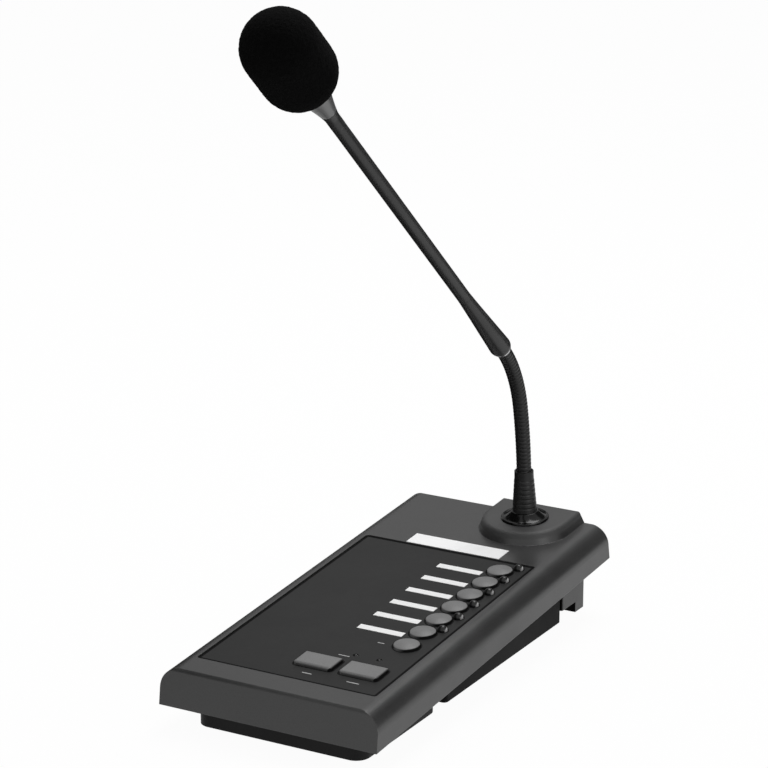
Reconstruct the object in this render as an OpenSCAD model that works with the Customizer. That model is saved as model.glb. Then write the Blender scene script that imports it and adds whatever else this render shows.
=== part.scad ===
// Desk paging microphone: a sloping base with push keys, a gooseneck and a foam windscreen.
// Millimetres, +Z up, the user's side at -Y. The origin is the middle of the base, on the table.

/* [Base] */
// Width of the base
base_w = 100; // [96:1:120]
// Length of the cover along its slope
base_l = 207; // [200:0.1:240]
// Height of the cover square to its slope
cover_h = 15.7; // [15:0.1:20]
// Slope of the cover in degrees
slope = 4; // [3:0.5:6]
// Height of the cover's lower front edge above the table
front_lift = 10.4; // [8:0.1:14]
// Radius along the two long upper edges
edge_r = 8.4; // [6:0.1:9]
// Radius of the upper front edge
ridge_r = 1.4; // [0.5:0.1:2]
// Radius of the upper rear edge
rear_ridge_r = 0.5; // [0.3:0.1:1.5]
// Wall of the cover
wall = 2.2; // [1.8:0.1:2.6]
// How far the front face leans back
front_lean = 3.1; // [1:0.1:5]
// How far the rear face leans forward
rear_lean = 2; // [1:0.1:4]
// Thickness of the plate that closes the cover from below
plate_t = 2.4; // [2:0.1:3]
// Clearance between pieces that drop into each other
fit = 0.3; // [0.2:0.05:0.5]

/* [Underside] */
// Distance from the front edge to the front foot
foot_setback = 10.4; // [8:0.1:18]
// Length of the front foot
foot_l = 62; // [50:0.5:64]
// Distance from the base's sides to the front foot
foot_side = 11.3; // [10:0.1:15]
// Offset of the front foot from the middle
foot_shift = -1.2; // [-2:0.1:2]
// Corner radius of the front foot
foot_r = 6; // [3:0.5:9]
// Gap between the front foot and the tray
tray_gap = 6.5; // [5:0.5:12]
// Distance from the base's sides to the level tray
tray_side = 12.5; // [11:0.5:16]
// Corner radius of the tray
tray_r = 2; // [1:0.5:4]
// Wall of the tray, foot and rear block
under_wall = 2.2; // [1.8:0.1:2.8]
// Length of the rear block
block_l = 21.8; // [20.5:0.1:26]
// Distance from the base's sides to the rear block
block_side = 12; // [11:0.1:15]
// Corner radius of the rear block
block_r = 1; // [0.5:0.5:4]
// Length of the channel across the rear block's underside
channel_l = 13; // [9:0.5:13]
// Height of that channel
channel_h = 4.8; // [4.4:0.1:5.5]
// Gap all round the steel weight in its tray
ballast_gap = 4.3; // [1:0.1:10]
// Thickness of the steel weight
ballast_t = 6; // [4:0.5:8]
// Length of a rubber pad under the rear block
pad_l = 18; // [12:1:22]
// Width of a rubber pad
pad_w = 6; // [4:0.5:7]
// Thickness of a rubber pad
pad_t = 1.2; // [0.8:0.1:1.6]
// Corner radius of a rubber pad
pad_r = 1; // [0.5:0.1:1.8]

/* [Panel] */
// Distance from the base's sides to the control panel
panel_side = 8.7; // [8:0.1:10]
// Length of the control panel
panel_l = 137.2; // [134:0.1:142]
// Distance from the front edge to the panel
panel_front = 15.7; // [12:0.1:18]
// Corner radius of the panel
panel_r = 1.2; // [0.6:0.1:2]
// Thickness of the panel's sheet
overlay_t = 0.7; // [0.5:0.05:0.9]
// Depth of the sheet's face below the cover
overlay_drop = 0.3; // [0.1:0.05:0.5]
// Line between the sheet and the cover
overlay_gap = 0.4; // [0.2:0.05:0.6]
// Length of the writing strip behind the panel
name_l = 45.4; // [30:0.2:50]
// Width of that strip
name_w = 10; // [8:0.2:12]
// Offset of that strip from the middle
name_x = 0.7; // [-4:0.1:4]
// Distance from the panel to that strip
name_gap = 0.4; // [0.3:0.1:1]
// Length of a zone strip
zone_strip_l = 21; // [16:0.2:24]
// Width of a zone strip
zone_strip_w = 4; // [3:0.1:6]
// Gap between a zone strip and its key
zone_strip_gap = 0.9; // [0.5:0.1:4]
// Distance by which a zone strip sits in front of its key's centre
zone_strip_shift = 4.8; // [0:0.1:6]
// Thickness of the writing strips
strip_t = 0.4; // [0.3:0.05:0.5]
// Depth of the strips' seats
strip_seat = 0.3; // [0.2:0.05:0.3]

/* [Round keys] */
// Diameter of a round key
key_d = 10.8; // [9.5:0.1:11]
// Rise of a round key above the cover
key_rise = 1.8; // [1.6:0.1:3]
// Rise of its domed top within that
key_dome = 1.1; // [0.2:0.05:1.2]
// Radius of its upper edge
key_edge_r = 0.5; // [0.3:0.1:1.2]
// Spacing of the round keys
key_pitch = 13.5; // [13.2:0.05:14]
// Distance from the panel's right edge to the keys' centres
key_side = 11.6; // [9:0.1:13]
// Distance from the panel's front edge to the first key's centre
key_front = 45.6; // [40:0.1:48]
// Travel of a round key
key_travel = 1; // [0.5:0.1:1.2]
// Gap round every key
key_gap = 0.35; // [0.25:0.05:0.45]
// Reach of the ears that hold a key under the cover
ear = 1.2; // [0.8:0.1:1.4]
// Thickness of those ears
ear_t = 1.4; // [1:0.1:1.8]
// Width of those ears
ear_w = 4; // [3:0.1:5]

/* [Bar keys] */
// Length of a rectangular key
bar_l = 17.2; // [15:0.1:18]
// Width of a rectangular key
bar_w = 10.6; // [9:0.1:12]
// Rise of a rectangular key above the cover
bar_rise = 1.2; // [1:0.1:3.2]
// Spacing of the two rectangular keys
bar_pitch = 20.9; // [20.8:0.1:22]
// Distance from the panel's right edge to the second key's centre
bar_side = 15.3; // [12:0.1:17]
// Distance from the panel's front edge to their centres
bar_front = 17.4; // [13:0.1:19]
// Travel of a rectangular key
bar_travel = 1; // [0.8:0.1:1.8]
// Radius of their upper edges
bar_edge_r = 1; // [0.5:0.1:1.4]
// Corner radius of their outline
bar_r = 1.4; // [0.6:0.1:2]

/* [Indicators] */
// Diameter of a zone indicator
led_d = 4; // [3:0.1:4.2]
// Rise of a zone indicator above the cover
led_rise = 2; // [0.8:0.1:2.4]
// Sideways offset of the indicators from the keys
led_side = 5.9; // [4.6:0.1:6.5]
// Distance from a key's centre back to its indicator
led_back = 5.8; // [5:0.1:8]
// Diameter of a status indicator
status_d = 2; // [1.6:0.1:2.4]
// Distance from the rectangular keys' centres to the status indicators
status_back = 12.3; // [10:0.1:16]
// Spacing of the two status indicators
status_pitch = 10.8; // [10:0.1:13]
// Gap round an indicator
led_gap = 0.15; // [0.1:0.05:0.2]

/* [Boards] */
// Distance from the panel's edge to the keypad board's edge
board_inset = 2.4; // [1.5:0.1:3]
// Space under the keypad board
board_clear = 2.6; // [2:0.1:3]
// Thickness of the boards
board_t = 1.6; // [1:0.1:1.6]
// Height of a switch body
switch_h = 3.5; // [3:0.1:3.6]
// Side of a switch body
switch_w = 6; // [5.5:0.1:7]
// Diameter of a switch plunger
plunger_d = 3.5; // [3:0.1:3.8]
// Clearance all round a plunger
plunger_gap = 0.08; // [0.05:0.01:0.1]
// Width of a modular socket
socket_w = 15.8; // [15:0.1:17]
// Height of a modular socket
socket_h = 13.2; // [12.5:0.1:13.4]
// Length of a modular socket
socket_l = 15; // [14:0.1:15.5]
// Spacing of the two sockets
socket_pitch = 22; // [19:0.5:26]

/* [Pedestal and neck] */
// Distance from the base's right side to the neck
neck_side = 32; // [30:0.1:36]
// Distance from the rear edge to the neck, along the slope
neck_back = 18.3; // [18:0.1:24]
// Rise of the pedestal above the cover
pedestal_rise = 5; // [4:0.1:6]
// Radius of the pedestal's top
pedestal_r = 18.8; // [17:0.1:20]
// Distance from the neck back to the centre of the pedestal's round front
pedestal_shift = 1; // [0:0.5:4]
// Draft of the pedestal's wall in degrees
pedestal_draft = 22; // [10:1:32]
// Radius of the pedestal's upper edge
pedestal_edge = 1.2; // [0.5:0.1:3]
// Thickness of the pedestal's top
pedestal_t = 5.4; // [4:0.1:6]
// Diameter of the collar
collar_d = 21; // [18:0.5:24]
// Height of the collar
collar_h = 3.6; // [2.8:0.1:4]
// Height of the collar's rim
rim_h = 0.6; // [0.5:0.1:1]
// Radius of the rim's upper edge
rim_r = 0.8; // [0.3:0.1:0.9]
// Diameter of the collar's shank
shank_d = 12; // [10:0.5:12]
// Length of the collar's shank
shank_l = 13; // [12:0.5:14]
// Diameter of the washer
washer_d = 20; // [18:0.5:22]
// Thickness of the washer
washer_t = 1; // [0.8:0.1:1.4]
// Thickness of the nut
nut_t = 5; // [4:0.5:6]
// Height of the ribbed boot
boot_h = 18.6; // [16:0.1:24]
// Diameter of the boot at its foot
boot_d = 10.8; // [9.6:0.1:11.4]
// Diameter of the boot at its top
boot_top_d = 8.2; // [8.2:0.1:9.4]
// Spacing of the boot's ribs
boot_pitch = 2.1; // [1.6:0.1:2.4]
// Diameter of the flexible neck
neck_d = 6.5; // [6:0.05:6.8]
// Bore of the flexible neck
neck_bore = 3.6; // [2.6:0.1:4]
// Spacing of the neck's ribs
rib_pitch = 1.8; // [1.3:0.1:2]
// Depth of the grooves between the ribs
rib_depth = 0.35; // [0.2:0.05:0.5]
// Radius of the neck's lower bend
lower_r = 208; // [150:1:340]
// Forward lean in degrees at which the lower bend ends
lower_bend = 12.3; // [7:0.1:20]
// Radius of the neck's upper bend
upper_r = 57.3; // [50:0.1:90]
// Forward lean of the stem in degrees
lean = 48.3; // [30:0.1:60]

/* [Stem and head] */
// Diameter of the stem
stem_d = 5.8; // [5.2:0.05:6.2]
// Bore of the stem
stem_bore = 4.2; // [3:0.1:4.4]
// Distance along the stem from the ferrule's mouth to the flared housing
stem_l = 185.8; // [150:0.1:240]
// Largest diameter of the ferrule
ferrule_d = 9.4; // [9:0.1:10.5]
// Length of the ferrule
ferrule_l = 37.3; // [30:0.1:46]
// Thickness of the ring at its mouth
ring_t = 0.9; // [0.6:0.1:1.2]
// Width of that ring's face
ring_w = 0.4; // [0.3:0.05:0.5]
// Length of the ferrule's round mouth
nose = 2.2; // [1.5:0.1:3]
// Wall of the ferrule and housing where the stem enters
stem_lip = 0.3; // [0.2:0.05:0.5]
// Depth by which the stem sits in its sockets
stem_seat = 6; // [5:0.5:8]
// Diameter of the capsule housing
housing_d = 12.4; // [11.5:0.1:13]
// Length of its flare
flare_l = 18.5; // [15:0.1:22]
// Length of its straight part
barrel_l = 32; // [28:0.5:34]
// Wall of the capsule housing
housing_wall = 1; // [0.8:0.1:1.2]
// Diameter of the microphone capsule
capsule_d = 9.4; // [8.8:0.1:9.6]
// Length of the microphone capsule
capsule_l = 6.5; // [5:0.1:8]
// Diameter of the windscreen
foam_d = 30; // [26:0.2:34]
// Distance from the flare to the windscreen
foam_gap = 0.6; // [0.2:0.1:2]
// Length of the windscreen
foam_l = 45.2; // [40:0.1:50]

/* [Screws] */
// Diameter of the screws
screw_d = 2.8; // [2.4:0.1:3]
// Diameter of their heads
screw_head_d = 5.2; // [4.8:0.1:5.6]
// Height of their heads
screw_head_h = 1.3; // [1:0.1:1.4]
// Length of the screws below the head
screw_l = 7.5; // [6.5:0.1:8]
// Clearance all round a screw
screw_gap = 0.1; // [0.05:0.05:0.2]
// Distance from the front and rear edges to the case screws
case_screw_end = 21; // [18:0.5:24]
// Diameter of the bosses and posts that take them
boss_d = 6; // [5.6:0.1:6.4]

/* [Hidden] */
$fn = 48;
eps = 0.01;
cut = 1;
seat_gap = 0.1;
reach = 400;
zone_count = 6;
neck_sides = 12;

// Widths that follow the base
foot_w = base_w - 2 * foot_side;
tray_w = base_w - 2 * tray_side;
block_w = base_w - 2 * block_side;
panel_w = base_w - 2 * panel_side;

// Places along the base, in the table's frame
front_y = -base_l * cos(slope) / 2;
rear_y = -front_y;
foot_y = front_y + foot_setback;
tray_front = foot_y + foot_l + tray_gap;
tray_back = rear_y - block_l;
tray_l = tray_back - tray_front;

// Places on the slope: u to the right, v from the front edge, w square to the cover
inner_w = base_w / 2 - wall;
roof = cover_h - wall;
recess = overlay_t + overlay_drop;
overlay_face = cover_h - overlay_drop;
board_w = panel_w - 2 * board_inset;
board_l = panel_l - 2 * board_inset;
board_v = panel_front + board_inset;
board_low = plate_t + board_clear;
board_top = board_low + board_t;
switch_top = board_top + switch_h;
switch_floor = board_top + 0.6;
plunger_low = switch_floor + max(key_travel, bar_travel) + 0.2;
plunger_seat = 2.5;
ear_low = roof - ear_t;
key_u = panel_w / 2 - key_side;
key_v = panel_front + key_front;
lock_u = panel_w / 2 - bar_side;
talk_u = lock_u - bar_pitch;
bar_v = panel_front + bar_front;
status_u = [lock_u - status_pitch, lock_u];
zone_v = [for (i = [1:zone_count]) key_v + (zone_count + 1 - i) * key_pitch];
key_places = concat([[talk_u, bar_v], [lock_u, bar_v], [key_u, key_v]], [for (v = zone_v) [key_u, v]]);
case_u = inner_w - boss_d / 2 - 1;
case_screw_places = [for (s = [-1, 1], v = [case_screw_end, base_l - case_screw_end]) [s * case_u, v]];
post_left = -board_w / 2 + boss_d;
post_rear = board_v + board_l - boss_d;
post_right = [key_u - key_d / 2 - ear - boss_d / 2 - 1, board_w / 2 - boss_d / 2];
post_front = bar_v - bar_w / 2 - key_gap - boss_d / 2 - 0.6;
board_screw_places = [[post_left, board_v + boss_d], [post_left, post_rear], [post_right[0], post_rear],
  [post_right[1], post_front]];
foot_screw_v = foot_setback + foot_l / 2;
block_screw_u = block_w / 2 - under_wall - boss_d / 2;
block_screw_v = base_l - block_l / 2;
under_screw_places = concat([for (s = [-1, 1]) [foot_shift + s * foot_w / 4, foot_screw_v]],
  [for (s = [-1, 1]) [s * block_screw_u, block_screw_v]]);

// Places on the neck and stem
neck_x = base_w / 2 - neck_side;
neck_v = base_l - neck_back;
pedestal_root = cover_h - 2 * wall;
pedestal_top = cover_h + pedestal_rise;
collar_top = pedestal_top + collar_h;
neck_low = [neck_x, front_y + neck_v * cos(slope) - collar_top * sin(slope),
  front_lift + neck_v * sin(slope) + collar_top * cos(slope)];
neck_hole = neck_d + 2 * fit;
lower_l = lower_r * (lower_bend - slope) * PI / 180;
upper_l = upper_r * (lean - lower_bend) * PI / 180;
mouth_s = boot_h + lower_l + upper_l;
neck_l = mouth_s + neck_d;
barrel_low = stem_l + flare_l;
barrel_top = barrel_low + barrel_l;
foam_low = barrel_low + foam_gap;
grille_t = 0.8;
holder_l = 4;

// Places on the rear block
board_z = channel_h + under_wall;
socket_z = board_z + board_t;
socket_cavity_w = 11.8;
socket_cavity_h = 8.4;
board_post = 4;

module on_slope() {
  translate([0, front_y, front_lift]) rotate([slope, 0, 0]) children();
}

module on_stem() {
  translate(neck_point(mouth_s)) rotate([lean, 0, 0]) children();
}

// Places a piece on the neck's axis, at height w on the slope
module on_neck(w) {
  on_slope() translate([neck_x, neck_v, w]) children();
}

// Rectangle with round corners, about the origin
module rounded(l, w, r) {
  square([l - 2 * r, w], center = true);
  square([l, w - 2 * r], center = true);
  for (x = [-1, 1], y = [-1, 1]) translate([x * (l / 2 - r), y * (w / 2 - r)]) circle(r);
}

// Block that stands on the table from y0 to y1, with round upright corners
module standing(w, y0, y1, r, z, h) {
  translate([0, (y0 + y1) / 2, z]) linear_extrude(h) rounded(w, y1 - y0, r);
}

// Convex outline with each corner rounded by its own radius
module eased(points, radii) {
  n = len(points);
  function unit(a) = a / norm(a);
  function back(i) = unit(points[(i + n - 1) % n] - points[i]);
  function ahead(i) = unit(points[(i + 1) % n] - points[i]);
  function half(i) = acos(back(i) * ahead(i)) / 2;
  function tangent(i) = radii[i] / tan(half(i));
  polygon([for (i = [0:n - 1]) each radii[i] == 0 ? [points[i]]
    : [points[i] + tangent(i) * back(i), points[i] + tangent(i) * ahead(i)]]);
  for (i = [0:n - 1]) if (radii[i] > 0)
    translate(points[i] + unit(back(i) + ahead(i)) * radii[i] / sin(half(i))) circle(radii[i]);
}

// All that lies under height w on the slope
module below_slope(w) {
  on_slope() translate([-reach / 2, -reach / 4, w - reach / 2]) cube([reach, reach, reach / 2]);
}

// Extrudes a (v, w) outline across the base
module across(width) {
  translate([-width / 2, 0, 0]) rotate([90, 0, 90]) linear_extrude(width) children();
}

// Extrudes a (u, w) outline along the base, from v0 to v1
module along(v0, v1) {
  translate([0, v1, 0]) rotate([90, 0, 0]) linear_extrude(v1 - v0) children();
}

// Arch section of the cover and keys: flat top and two round upper corners
module arch(half, top, r, low) {
  translate([-half, low]) square([2 * half, top - r - low]);
  translate([r - half, low]) square([2 * (half - r), top - low]);
  for (s = [-1, 1]) translate([s * (half - r), top - r]) circle(r);
}

// Leaning front and rear lines of the cover
function front_v(w) = front_lean * w / cover_h;
function rear_v(w) = base_l - rear_lean * w / cover_h;

module side_outline(inset, low, high, rear_r, front_r) {
  eased([[front_v(low) + inset, low], [rear_v(low) - inset, low], [rear_v(high) - inset, high],
    [front_v(high) + inset, high]], [0, 0, rear_r, front_r]);
}

// The cover's bulk on the slope, set in by inset and reaching down to low
module cover_bulk(inset, low) {
  intersection() {
    along(-base_l, 2 * base_l) arch(base_w / 2 - inset, cover_h - inset, edge_r - inset, low);
    across(base_w + 2 * cut)
      side_outline(inset, low, cover_h - inset, max(0, rear_ridge_r - inset), max(0, ridge_r - inset));
  }
}

// D-shaped pedestal: a drafted cone run on to the rear face
module pedestal_half(r, top, low, edge) {
  foot = r + (top - low) * tan(pedestal_draft);
  eased([[0, low], [foot, low], [r, top], [0, top]], [0, 0, edge, 0]);
}

module pedestal_bulk(r, top, low, edge, inset) {
  intersection() {
    on_neck(0) translate([0, pedestal_shift, 0]) {
      rotate_extrude($fn = 96) pedestal_half(r, top, low, edge);
      rotate([90, 0, 180]) linear_extrude(2 * neck_back) {
        pedestal_half(r, top, low, edge);
        mirror([1, 0]) pedestal_half(r, top, low, edge);
      }
    }
    on_slope() across(reach) side_outline(inset, 0, 2 * cover_h, 0, 0);
  }
}

module key_holes(gap) {
  for (p = [for (i = [2:len(key_places) - 1]) key_places[i]]) translate(p) circle(d = key_d + 2 * gap);
  for (u = [talk_u, lock_u]) translate([u, bar_v]) rounded(bar_l + 2 * gap, bar_w + 2 * gap, bar_r + gap);
}

module led_places() {
  for (v = zone_v) translate([key_u + led_side, v + led_back]) children();
}

module status_places() {
  for (u = status_u) translate([u, bar_v + status_back]) children();
}

module led_holes() {
  led_places() circle(d = led_d + 2 * led_gap);
  status_places() circle(d = status_d + 2 * led_gap);
}

module panel_outline(inset) {
  translate([0, panel_front + panel_l / 2]) rounded(panel_w - 2 * inset, panel_l - 2 * inset, panel_r);
}

module name_outline(inset) {
  translate([name_x, panel_front + panel_l + name_gap + name_w / 2])
    square([name_l - 2 * inset, name_w - 2 * inset], center = true);
}

module zone_strip_outlines(inset) {
  for (v = zone_v)
    translate([key_u - key_d / 2 - zone_strip_gap - zone_strip_l / 2, v - zone_strip_shift])
      square([zone_strip_l - 2 * inset, zone_strip_w - 2 * inset], center = true);
}

module top_cover() {
  color("#585858") difference() {
    union() {
      difference() {
        union() {
          on_slope() cover_bulk(0, 0);
          pedestal_bulk(pedestal_r, pedestal_top, pedestal_root, pedestal_edge, 0);
        }
        on_slope() cover_bulk(wall, -cut);
        pedestal_bulk(pedestal_r - wall, pedestal_top - pedestal_t, pedestal_root, 0, wall);
      }
      on_slope() {
        case_bosses();
        for (p = board_screw_places)
          translate([p.x, p.y, board_top]) cylinder(d = boss_d, h = roof - board_top + 0.5);
      }
    }
    on_slope() {
      translate([0, 0, cover_h - recess]) linear_extrude(recess + cut) panel_outline(0);
      translate([0, 0, cover_h - strip_seat]) linear_extrude(strip_seat + cut) name_outline(0);
      translate([0, 0, roof - cut]) linear_extrude(wall + 2 * cut) {
        key_holes(key_gap);
        led_holes();
      }
      for (p = case_screw_places)
        translate([p.x, p.y, -eps]) cylinder(d = screw_d + 2 * screw_gap, h = screw_head_h + screw_l + 0.5);
      for (p = board_screw_places)
        translate([p.x, p.y, board_top - cut])
          cylinder(d = screw_d + 2 * screw_gap, h = cut + screw_l - board_t + fit);
    }
    on_neck(pedestal_top - pedestal_t - cut) cylinder(d = shank_d + 2 * screw_gap, h = pedestal_t + 2 * cut);
  }
}

// Bosses that hang from the cover and take the case screws
module case_bosses() {
  intersection() {
    for (p = case_screw_places) translate([p.x, p.y, plate_t]) cylinder(d = boss_d, h = cover_h);
    cover_bulk(wall / 2, 0);
  }
}

module panel_overlay() {
  color("#3b3b3b") on_slope() difference() {
    translate([0, 0, cover_h - recess]) linear_extrude(overlay_t) difference() {
      panel_outline(overlay_gap);
      key_holes(key_gap);
      led_holes();
    }
    translate([0, 0, overlay_face - strip_seat]) linear_extrude(cut) zone_strip_outlines(0);
  }
}

module name_strip() {
  color("white") on_slope() translate([0, 0, cover_h - strip_seat])
    linear_extrude(strip_t) name_outline(seat_gap);
}

module zone_strips() {
  color("white") on_slope() translate([0, 0, overlay_face - strip_seat])
    linear_extrude(strip_t) zone_strip_outlines(seat_gap);
}

module bottom_case() {
  half = inner_w - fit;
  v0 = front_v(plate_t) + wall + fit;
  v1 = rear_v(plate_t) - wall - fit;
  color("#222222") difference() {
    union() {
      on_slope() translate([-half, v0, 0]) cube([2 * half, v1 - v0, plate_t]);
      intersection() {
        standing(tray_w, tray_front, tray_back, tray_r, 0, reach / 4);
        below_slope(plate_t);
      }
    }
    tray_space(under_wall);
    wiring_window();
    on_slope() {
      for (p = concat(case_screw_places, under_screw_places))
        translate([p.x, p.y, -cut]) cylinder(d = screw_d + 2 * screw_gap, h = plate_t + 2 * cut);
      for (p = case_screw_places)
        translate([p.x, p.y, -cut]) cylinder(d = screw_head_d + 2 * fit, h = screw_head_h + cut);
    }
  }
}

// Space inside the tray, open at the top
module tray_space(inset) {
  standing(tray_w - 2 * inset, tray_front + inset, tray_back - inset, tray_r, under_wall, reach / 4);
}

// Opening in the plate over the rear block, for the leads to the sockets
module wiring_window() {
  on_slope() translate([-socket_pitch, base_l - block_l + under_wall, -cut])
    cube([2 * socket_pitch, block_l / 2, plate_t + 2 * cut]);
}

module front_foot() {
  color("#1c1c1c") translate([foot_shift, 0, 0]) difference() {
    intersection() {
      standing(foot_w, foot_y, foot_y + foot_l, foot_r, 0, reach / 4);
      below_slope(0);
    }
    difference() {
      standing(foot_w - 2 * under_wall, foot_y + under_wall, foot_y + foot_l - under_wall,
        max(0.5, foot_r - under_wall), under_wall, reach / 4);
      on_slope() for (s = [-1, 1]) {
        translate([s * foot_w / 4, foot_screw_v, -reach / 4]) cylinder(d = boss_d, h = reach / 4);
        translate([s * foot_w / 4 - under_wall / 2, foot_setback, -reach / 4])
          cube([under_wall, foot_l, reach / 4]);
      }
    }
    on_slope() for (s = [-1, 1]) translate([s * foot_w / 4, foot_screw_v, plate_t - screw_l - 0.5])
      cylinder(d = screw_d + 2 * screw_gap, h = screw_l);
  }
}

module socket_places() {
  for (s = [-1, 1]) translate([s * socket_pitch / 2, rear_y, socket_z]) children();
}

module rear_block() {
  y0 = tray_back;
  color("#585858") difference() {
    intersection() {
      standing(block_w, y0, rear_y, block_r, 0, reach / 4);
      below_slope(0);
    }
    difference() {
      standing(block_w - 2 * under_wall, y0 + under_wall, rear_y - under_wall, block_r / 2, under_wall,
        reach / 4);
      translate([-block_w, y0 - cut, 0]) cube([2 * block_w, channel_l + under_wall + cut, board_z]);
      for (s = [-1, 1]) translate([s * socket_pitch - board_post / 2, rear_y - board_post, 0])
        cube([board_post, board_post, board_z]);
      on_slope() for (s = [-1, 1])
        translate([s * block_screw_u, block_screw_v, -reach / 4]) cylinder(d = boss_d, h = reach / 4);
    }
    translate([-block_w, y0 - cut, -cut]) cube([2 * block_w, channel_l + cut, channel_h + cut]);
    socket_places() translate([-socket_w / 2 - fit / 2, -socket_l, -fit / 2])
      cube([socket_w + fit, socket_l + cut, socket_h + fit]);
    pad_places() translate([0, 0, -cut])
      linear_extrude(pad_t + cut) rounded(pad_l + fit, pad_w + fit, pad_r + fit / 2);
    on_slope() for (s = [-1, 1]) translate([s * block_screw_u, block_screw_v, plate_t - screw_l - 0.5])
      cylinder(d = screw_d + 2 * screw_gap, h = screw_l);
  }
}

module pad_places() {
  for (s = [-1, 1])
    translate([s * (block_w / 2 - pad_l / 2 - 4), rear_y - (block_l - channel_l) / 2, 0]) children();
}

module rear_pads() {
  color("#161616") pad_places() linear_extrude(pad_t) rounded(pad_l, pad_w, pad_r);
}

module ballast_plate() {
  inset = under_wall + ballast_gap;
  color("silver") standing(tray_w - 2 * inset, tray_front + inset, tray_back - inset, 2 * tray_r, under_wall,
    ballast_t);
}

module keypad_board() {
  color("#1f5a32") on_slope() translate([0, board_v + board_l / 2, board_low]) difference() {
    linear_extrude(board_t) rounded(board_w, board_l, 2);
    for (p = board_screw_places) translate([p.x, p.y - board_v - board_l / 2, -cut])
      cylinder(d = screw_d + 2 * screw_gap, h = board_t + 2 * cut);
  }
}

module key_switches() {
  color("#202020") on_slope() for (p = key_places) translate([p.x, p.y, board_top]) difference() {
    linear_extrude(switch_h) rounded(switch_w, switch_w, 0.6);
    translate([0, 0, switch_floor - board_top]) cylinder(d = plunger_d + 2 * plunger_gap, h = switch_h);
  }
}

module plunger(i) {
  color("ivory") on_slope() translate([key_places[i].x, key_places[i].y, plunger_low])
    cylinder(d = plunger_d, h = ear_low + plunger_seat - plunger_low);
}

// Socket in a key for its plunger
module plunger_socket() {
  translate([0, 0, ear_low - cut]) cylinder(d = plunger_d + 2 * plunger_gap, h = plunger_seat + cut);
}

// Half section of a round key: a low dome that runs into a round rim
module round_key_half(top) {
  r = key_d / 2;
  dome_r = (pow(r, 2) + pow(key_dome, 2)) / (2 * key_dome);
  rim_x = r - key_edge_r;
  rim_z = top - dome_r + sqrt(pow(dome_r - key_edge_r, 2) - pow(rim_x, 2));
  translate([0, ear_low]) square([r, rim_z - ear_low]);
  translate([rim_x, rim_z]) circle(key_edge_r);
  intersection() {
    translate([0, top - dome_r]) circle(dome_r);
    translate([0, ear_low]) square([rim_x * dome_r / (dome_r - key_edge_r), top - ear_low]);
  }
}

module round_key(i) {
  color("#7c7c7c") on_slope() translate([key_places[i].x, key_places[i].y, 0]) difference() {
    union() {
      rotate_extrude() round_key_half(cover_h + key_rise);
      translate([0, 0, ear_low]) linear_extrude(ear_t) square([key_d + 2 * ear, ear_w], center = true);
    }
    plunger_socket();
  }
}

module bar_key(i) {
  top = cover_h + bar_rise;
  color("#7c7c7c") on_slope() translate([key_places[i].x, key_places[i].y, 0]) difference() {
    union() {
      intersection() {
        translate([0, 0, ear_low]) linear_extrude(top) rounded(bar_l, bar_w, bar_r);
        along(-bar_w, bar_w) arch(bar_l / 2, top, bar_edge_r, ear_low);
        across(bar_l + 2 * cut) arch(bar_w / 2, top, bar_edge_r, ear_low);
      }
      translate([0, 0, ear_low]) linear_extrude(ear_t) square([bar_l + 2 * ear, ear_w], center = true);
    }
    plunger_socket();
  }
}

module led(d, rise) {
  translate([0, 0, board_top]) {
    cylinder(d = d + 0.8, h = 1);
    cylinder(d = d, h = cover_h + rise - d / 2 - board_top);
  }
  translate([0, 0, cover_h + rise - d / 2]) sphere(d = d);
}

module zone_leds() {
  color("#404844") on_slope() led_places() led(led_d, led_rise);
}

module status_leds() {
  color("#505050") on_slope() status_places() led(status_d, 0);
}

module connector_board() {
  l = 2 * socket_pitch + board_post;
  w = block_l - 2 * under_wall - 1;
  color("#1f5a32") translate([-l / 2, rear_y - under_wall - 0.5 - w, board_z]) cube([l, w, board_t]);
}

// Modular socket: a box with a stepped cavity for the plug and its latch
module data_sockets() {
  cavity_z = 3.2;
  latch_w = 6.2;
  latch_h = 1.7;
  color("#2a2a2a") socket_places() difference() {
    translate([-socket_w / 2, -socket_l, 0]) cube([socket_w, socket_l, socket_h]);
    translate([-socket_cavity_w / 2, 1 - socket_l, cavity_z])
      cube([socket_cavity_w, socket_l, socket_cavity_h]);
    translate([-latch_w / 2, 1 - socket_l, cavity_z - latch_h]) cube([latch_w, socket_l, latch_h + 1]);
  }
}

// Screw along -Z with its head above the origin
module screw(l) {
  translate([0, 0, -l]) cylinder(d = screw_d, h = l + eps);
  difference() {
    cylinder(d1 = screw_head_d, d2 = screw_head_d - 1, h = screw_head_h);
    for (a = [0, 90]) rotate(a) translate([-1.5, -0.35, screw_head_h / 2]) cube([3, 0.7, screw_head_h]);
  }
}

module case_screws() {
  color("silver") on_slope() for (p = case_screw_places)
    translate([p.x, p.y, screw_head_h]) rotate([180, 0, 0]) screw(screw_l);
}

module board_screws() {
  color("silver") on_slope() for (p = board_screw_places)
    translate([p.x, p.y, board_low]) rotate([180, 0, 0]) screw(screw_l);
}

module underside_screws() {
  color("silver") on_slope() for (p = under_screw_places)
    translate([p.x, p.y, plate_t]) screw(screw_l);
}

// Low domed flange with a shank that goes through the pedestal
module neck_collar() {
  r = collar_d / 2;
  seat = boot_d / 2 + 0.5;
  color("#101010") on_neck(pedestal_top) difference() {
    rotate_extrude($fn = 96) {
      intersection() {
        eased([[0, 0], [r, 0], [r, rim_h], [seat, collar_h], [0, collar_h]], [0, 0, rim_r, 0, 0]);
        square(collar_d);
      }
      translate([0, -shank_l]) square([shank_d / 2, shank_l + eps]);
    }
    translate([0, 0, -shank_l - cut]) cylinder(d = neck_bore, h = shank_l + collar_h + 2 * cut);
  }
}

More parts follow.
